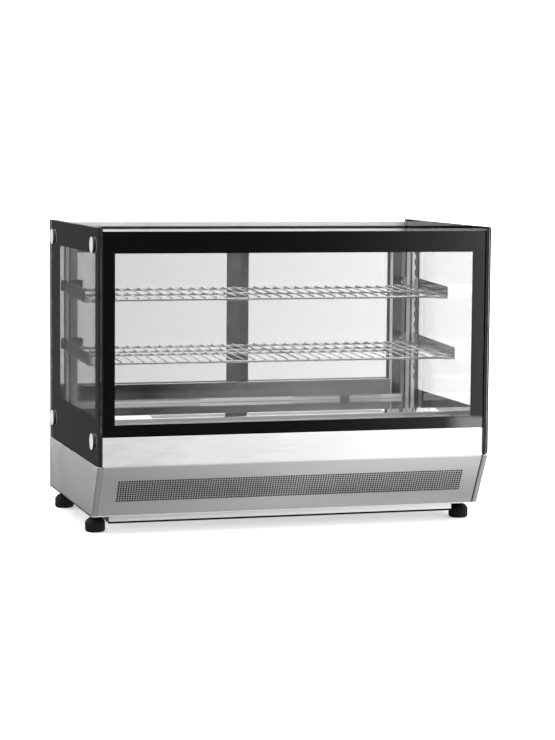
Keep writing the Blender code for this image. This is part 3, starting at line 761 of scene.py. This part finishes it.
def add_rear_rail(name, x0, x1, toothed):
    """A low strip along the sill's foot, notched where air returns below it."""
    count = int((x1 - x0) / SLOT_PITCH)
    start = (x0 + x1 - count * SLOT_PITCH) / 2
    points = [(x0, RAIL_LOW), (x0, RAIL_HIGH)]
    for i in range(count):
        x = start + SLOT_PITCH * i
        if toothed(x + SLOT_PITCH / 2):
            first, last, foot = x + SLOT_PITCH * 0.25, x + SLOT_PITCH * 0.75, RAIL_HIGH - RAIL_NOTCH
            points += [(first, RAIL_HIGH), (first, foot), (last, foot), (last, RAIL_HIGH)]
    points += [(x1, RAIL_HIGH), (x1, RAIL_LOW)]
    body = bmesh.new()
    prism(body, *([(x, y, z) for x, z in points] for y in RAIL_Y))
    bmesh.ops.recalc_face_normals(body, faces=body.faces)
    add_piece(name, body, "deck_panel", RAIL, 30.0)


# painted shade: the shadow line under the pan's front edge
PAN_SHADOW_LINE = ((-0.3975, -0.1772, 0.0212), (0.3975, -0.1770, 0.0212))
PAN_SHADOW_RADIUS = 0.0023
# painted shade: the shadow gaps down both ends of the intake slope
SLOPE_SHADOW_X = 0.4308
SLOPE_SHADOW_RADIUS = 0.0015
SHADOW_LINE_SIDES = 10


def add_shadow_lines():
    """Dark rods of painted shade: the shadow line under the pan's front edge, and the shadow gaps down both
    ends of the intake slope.
    """
    body = bmesh.new()
    rod(body, *PAN_SHADOW_LINE, PAN_SHADOW_RADIUS, SHADOW_LINE_SIDES)
    add_piece("pan_shadow_line", body, "base_plate", RUBBER)
    low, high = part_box("front_grille_panel")
    for side, sign in SIDES.items():
        x = sign * SLOPE_SHADOW_X
        foot = (x, high.y - INTAKE_FLANGE, low.z)
        body = bmesh.new()
        rod(body, (x, low.y, high.z), foot, SLOPE_SHADOW_RADIUS, SHADOW_LINE_SIDES)
        add_piece(side + "_slope_shadow_line", body, "front_grille_panel", RUBBER)


# painted shade: a near-black sheet below the deck's front slots
SHADE_SHEET_HALF, SHADE_SHEET_THICK = 0.280, 0.0008
SHADE_SHEET_LINE = [(-0.0755, 0.2310), (-0.0330, 0.2343), (0.0300, 0.2343)]      # its top, in Y and Z


def add_slot_shade_sheet():
    """A near-black sheet close below the deck that shows through the front row of slots: painted shade for the
    dark inside them.
    """
    outline = SHADE_SHEET_LINE + [(y, z - SHADE_SHEET_THICK) for y, z in reversed(SHADE_SHEET_LINE)]
    body = bmesh.new()
    prism(body, *([(x, y, z) for y, z in outline] for x in (-SHADE_SHEET_HALF, SHADE_SHEET_HALF)))
    bmesh.ops.recalc_face_normals(body, faces=body.faces)
    add_piece("slot_shade_sheet", body, "deck_panel", FILTER_SHADE)


def add_rear_rails():
    add_rear_rail("rear_rail_main", -0.405, 0.247, lambda x: x < -0.098 or x > 0.128)
    add_rear_rail("rear_rail_end", 0.272, 0.405, lambda x: x < 0.350)


PLATE_X, PLATE_Y = (0.3795, 0.4300), (0.1862, 0.1876)
PLATE_HEIGHT, PLATE_CORNER = 0.026, 0.004
RIVET_X = 0.4010
RIVET = [(0.0, 0.0016), (0.0014, 0.0013), (0.0024, 0.0006), (0.0028, 0.0), (0.0, 0.0)]


def add_bracket_plates():
    """The plate behind each upright that a bracket's tab bears on, with its rivet."""
    for node_name in NODES:
        if not node_name.endswith("_bracket"):
            continue
        sign = SIDES[node_name.split("_")[0]]
        x0, x1 = PLATE_X
        z1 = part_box(node_name)[1].z
        z0 = z1 - PLATE_HEIGHT
        corner = PLATE_CORNER
        outline = []
        for cx, cz, turn in ((x1 - corner, z0 + corner, 270), (x1 - corner, z1 - corner, 0),
                             (x0 + corner, z1 - corner, 90), (x0 + corner, z0 + corner, 180)):
            for i in range(5):
                angle = math.radians(turn + 22.5 * i)
                outline.append((sign * (cx + corner * math.cos(angle)), cz + corner * math.sin(angle)))
        body = bmesh.new()
        prism(body, *([(x, y, z) for x, z in outline] for y in PLATE_Y))
        rivet_at = (sign * RIVET_X, PLATE_Y[0] - 0.00002, (z0 + z1) / 2)
        spin(body, rivet_at, "Y", [(radius, -height) for radius, height in RIVET], 24)
        bmesh.ops.recalc_face_normals(body, faces=body.faces)
        add_piece("plate_" + node_name, body, node_name, BRACKET, 30.0)


SHELF_RODS = {"upper": (0.165, 0.053, -0.059), "lower": (0.165, 0.085, 0.031, -0.110)}
SHELF_REAR_Z = {"upper": 0.506, "lower": 0.372}
SHELF_SLOPE = 0.039
ROD = 0.006
WIRE = 0.003
WIRES = 33
WELD_DEPTH = 0.0004


def add_shelf(name):
    """Round rods along the case with round wires welded across them."""
    low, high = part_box(name + "_shelf")
    rods = SHELF_RODS[name]
    rear_z = SHELF_REAR_Z[name]
    body = bmesh.new()

    def height(y):
        return rear_z - SHELF_SLOPE * (rods[0] - y)

    for y in rods:
        rod(body, (low.x, y, height(y)), (high.x, y, height(y)), ROD / 2, 16)
    lift = ROD / 2 + WIRE / 2 - WELD_DEPTH
    inset = WIRE / 2 + 0.001
    back, fore = rods[0] + ROD / 2, rods[-1] - ROD / 2
    for i in range(WIRES):
        x = low.x + inset + (high.x - low.x - 2 * inset) * i / (WIRES - 1)
        rod(body, (x, back, height(back) + lift), (x, fore, height(fore) + lift), WIRE / 2, 10)
    piece = add_piece(name + "_wire_shelf", body, name + "_shelf")
    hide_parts(name + "_shelf")


FOOT_PROFILE = [
    (0.0, 0.0), (0.0178, 0.0), (0.0194, 0.0006), (0.0212, 0.0026), (0.0220, 0.0050),
    (0.0220, 0.0205), (0.0214, 0.0225), (0.0196, 0.0250), (0.0168, 0.0282), (0.0158, 0.0292),
    (0.0110, 0.0300), (0.0110, 0.0392), (0.0105, 0.0397), (0.0050, 0.0397),
]
STUD_FROM, THREAD_PITCH, THREAD_TURNS = 0.0397, 0.0016, 12
THREAD_CREST, THREAD_ROOT, STUD_END = 0.0050, 0.0044, 0.0042
FLUTES, FLUTE_DEPTH, FLUTE_HEIGHTS = 24, 0.0005, (0.004, 0.021)


def add_foot(node_name):
    """A moulded levelling foot: fluted grip, flat neck and threaded stud."""
    low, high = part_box(node_name)
    centre = ((low.x + high.x) / 2, (low.y + high.y) / 2, 0.0)
    profile = list(FOOT_PROFILE)
    for i in range(THREAD_TURNS):
        profile += [(THREAD_CREST, STUD_FROM + THREAD_PITCH * (i + 0.2)),
                    (THREAD_ROOT, STUD_FROM + THREAD_PITCH * (i + 0.7))]
    profile += [(STUD_END, high.z), (0.0, high.z)]

    def flute(turn, height):
        if not FLUTE_HEIGHTS[0] < height < FLUTE_HEIGHTS[1]:
            return 0.0
        return -FLUTE_DEPTH * (0.5 + 0.5 * math.cos(FLUTES * turn))

    body = bmesh.new()
    spin(body, centre, "Z", profile, 96, flute)
    piece = add_piece("visual_" + node_name, body, node_name)
    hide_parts(node_name)


GLASS_THICK = 0.0045                            # the outer pane, between the cap and the case
CAP_THICK = 0.0009
RIBS, RIB_DEPTH = 20, 0.0006


def add_fixing(node_name):
    """A thin satin cap on a ribbed black ring, over the stud that holds the side glass."""
    low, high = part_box(node_name)
    left = low.x < 0
    centre_y, centre_z = (low.y + high.y) / 2, (low.z + high.z) / 2
    radius = (high.y - low.y) / 2
    outer = low.x if left else high.x
    inner = (high.x - outer) if left else (outer - low.x)
    cap = GLASS_THICK - 0.0003
    disc = CAP_THICK
    way = "X" if left else "-X"
    profile = [(0.0, 0.0), (radius - 0.0012, 0.0), (radius - 0.0003, 0.0002), (radius, 0.0005),
               (radius - 0.0002, disc), (0.0048, disc), (0.0048, inner), (0.0, inner)]
    body = bmesh.new()
    spin(body, (outer, centre_y, centre_z), way, profile, 72)
    piece = add_piece("visual_" + node_name, body, node_name, CAP_STEEL)
    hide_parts(node_name)
    ring = [(0.0052, disc + 0.0001), (radius - 0.0012, disc + 0.0001), (radius - 0.0007, disc + 0.0004),
            (radius - 0.0007, cap - 0.0002), (radius - 0.0010, cap), (0.0052, cap), (0.0052, disc + 0.0001)]

    def rib(turn, height):
        return -RIB_DEPTH * (0.5 + 0.5 * math.cos(RIBS * turn)) if height > disc + 0.0003 else 0.0

    body = bmesh.new()
    spin(body, (outer, centre_y, centre_z), way, ring, 120, rib)
    bmesh.ops.remove_doubles(body, verts=body.verts, dist=0.000005)
    bmesh.ops.recalc_face_normals(body, faces=body.faces)
    add_piece("ring_" + node_name, body, node_name, BLACK_PLASTIC)


SOFTENED = {                                    # the width of each piece's rolled edges
    "front_fascia": 0.0011, "left_side_panel": 0.0008, "right_side_panel": 0.0008, "base_plate": 0.0008,
    "rear_cover": 0.0005, "lamp_housing": 0.0004, "rear_sill": 0.0005, "rear_header": 0.0005,
    "left_rear_post": 0.0005, "right_rear_post": 0.0005, "left_door_frame": 0.0012, "right_door_frame": 0.0012,
    "left_upper_bracket": 0.0004, "right_upper_bracket": 0.0004, "left_lower_bracket": 0.0004,
    "right_lower_bracket": 0.0004, "top_glass_gasket": 0.0006, "compressor": 0.002, "controller": 0.0006,
    "left_door_glass": 0.0002, "left_upright": 0.0004, "power_inlet": 0.0006, "power_switch": 0.0003,
    "condenser_fan_shroud": 0.0004, "lamp_diffuser": 0.0008,
}
POST_CUT, UPRIGHT_CUT, DOOR_CUT = -0.012, 0.0068, -0.0105
STILE = 0.033


def match_left_edges():
    """Moves the edges of the left-hand pieces to where the photograph shows them."""
    post = bpy.data.objects["visual_left_rear_post"]
    shift_edge(post, max(vert.co.x for vert in post.data.vertices), POST_CUT)
    edges = {
        "left_upright": (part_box("left_upright")[0].x, UPRIGHT_CUT),
        "left_door_frame": (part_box("left_door_frame")[0].x + STILE, DOOR_CUT),
        "left_door_glass": (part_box("left_door_glass")[0].x, DOOR_CUT),
    }
    for node_name, (edge, distance) in edges.items():
        shift_edge(bpy.data.objects["visual_" + node_name], edge, distance)


def add_pieces():
    add_intake_panel()
    add_filter()
    add_deck()
    add_rear_rails()
    add_bracket_plates()
    add_shadow_lines()
    add_slot_shade_sheet()
    for name in SHELF_RODS:
        add_shelf(name)
    for node_name in NODES:
        if node_name.endswith("_foot"):
            add_foot(node_name)
        if node_name.endswith("_fixing"):
            add_fixing(node_name)
    for node_name, width in SOFTENED.items():
        softened(node_name, width)
    match_left_edges()


# ---------------------------------------------------------------- light and floor

WHITE = (1, 1, 1, 1)


def add_world():
    """White behind and through the glass; a studio that is dark at the front left in reflections.

    Each ramp takes a part of the ray's direction, from -1 to 1, to a strength."""
    world = bpy.data.worlds.new("studio")
    world.use_nodes = True
    tree = world.node_tree
    tree.nodes.clear()
    bpy.context.scene.world = world
    way = node(tree, "ShaderNodeTexCoord").outputs["Generated"]
    x, y, z = node(tree, "ShaderNodeSeparateXYZ", {0: way}).outputs[:3]
    right = node(tree, "ShaderNodeMath", {0: ramp(tree, x, 0.19, 0.40, smooth=False), 1: 5.0},
                 operation="POWER").outputs[0]
    panel = ramp(tree, right, 0.0, 1.0, 0.05, 1.50, False)
    rear = ramp(tree, x, -0.15, 0.15, 0.08, 1.0)
    level = blend_value(tree, ramp(tree, y, -0.25, 0.1), panel, rear)
    ground = ramp(tree, x, 0.16, 0.32, 0.10, 1.15)
    ceiling = math_node(tree, "ADD", ramp(tree, x, 0.12, 0.27, 1.5, 3.1),
                        ramp(tree, x, -0.1, 0.1, 1.9, 0.0))
    spill = math_node(tree, "MULTIPLY", ramp(tree, x, 0.350, 0.360),
                      ramp(tree, z, -0.1160, -0.1180, 0.0, 2.6))
    level = math_node(tree, "ADD", level, math_node(tree, "MULTIPLY", spill, ramp(tree, y, -0.1, -0.5)))
    lower = blend_value(tree, ramp(tree, z, -0.17, -0.35), level, ground)
    mirrored = blend_value(tree, ramp(tree, z, 0.13, 0.30), lower, ceiling)
    studio = node(tree, "ShaderNodeBackground", {"Color": WHITE, "Strength": mirrored})
    sky = ramp(tree, z, -0.4, 1.0, 0.7, 1.25)
    soft = node(tree, "ShaderNodeBackground", {"Color": WHITE, "Strength": sky})
    across = math_node(tree, "ADD", ramp(tree, x, 0.20, 0.32, 1.05, 1.44, False),
                       ramp(tree, x, 0.335, 0.35, 0.0, 1.25))
    across = math_node(tree, "ADD", across, ramp(tree, x, 0.200, 0.207, 0.8, 0.0))
    white = node(tree, "ShaderNodeBackground", {"Color": WHITE, "Strength": across})
    path = node(tree, "ShaderNodeLightPath").outputs
    unseen = mixed(tree, path["Is Diffuse Ray"], studio, soft)
    seen = math_node(tree, "MAXIMUM", path["Is Camera Ray"], path["Is Transmission Ray"])
    node(tree, "ShaderNodeOutputWorld", {"Surface": mixed(tree, seen, unseen, white).outputs[0]})


def add_light(name, place, target, size, power):
    data = bpy.data.lights.new(name, "AREA")
    data.shape = "RECTANGLE"
    data.size, data.size_y = size
    data.energy = power
    light = bpy.data.objects.new(name, data)
    light.location = place
    light.rotation_euler = (Vector(target) - Vector(place)).to_track_quat("-Z", "Y").to_euler()
    light.visible_glossy = False
    light.visible_transmission = False
    light.visible_camera = False
    bpy.context.scene.collection.objects.link(light)


FLOOR_RADIUS = 1.9
FLOOR_DROP = 0.0002                             # keeps it clear of the feet's undersides


def add_floor():
    """A pale floor, bright enough to meet the white behind it, that still takes contact shadows."""
    made, tree = new_material("floor")
    tone = mix_colour(tree, noise(tree, 5.0, detail=2.0), (0.80, 0.80, 0.80), (0.81, 0.81, 0.81))
    shader = principled(tree, **{"Base Color": tone, "Roughness": 0.9, "Specular IOR Level": 0.0,
                                 "Emission Color": WHITE, "Emission Strength": 0.42})
    finish_material(tree, shader.outputs[0])
    mesh = bpy.data.meshes.new("floor")
    body = bmesh.new()
    bmesh.ops.create_circle(body, cap_ends=True, segments=96, radius=FLOOR_RADIUS)
    body.to_mesh(mesh)
    body.free()
    mesh.materials.append(made)
    floor = bpy.data.objects.new("floor", mesh)
    floor.location = (0.0, 0.0, -FLOOR_DROP)
    floor.visible_glossy = False
    bpy.context.scene.collection.objects.link(floor)


def add_stage():
    add_world()
    add_floor()
    add_light("overhead", (0.3, -0.4, 2.6), (0.0, 0.0, 0.3), (2.4, 1.8), 26.0)
    add_light("front_right", (2.2, -2.4, 1.6), (0.0, 0.0, 0.3), (1.4, 1.6), 16.0)
    scene = bpy.context.scene
    scene.view_settings.view_transform = "Standard"
    scene.view_settings.look = "None"
    scene.cycles.transparent_max_bounces = 32
    scene.cycles.max_bounces = 24
    scene.cycles.transmission_bounces = 24
    scene.cycles.glossy_bounces = 8


def paint_frame():
    for node_name, carried in NODES.items():
        carried.data.materials.clear()
        carried.data.materials.append(material_for(node_name))


add_camera()
paint_frame()
add_pieces()
add_stage()
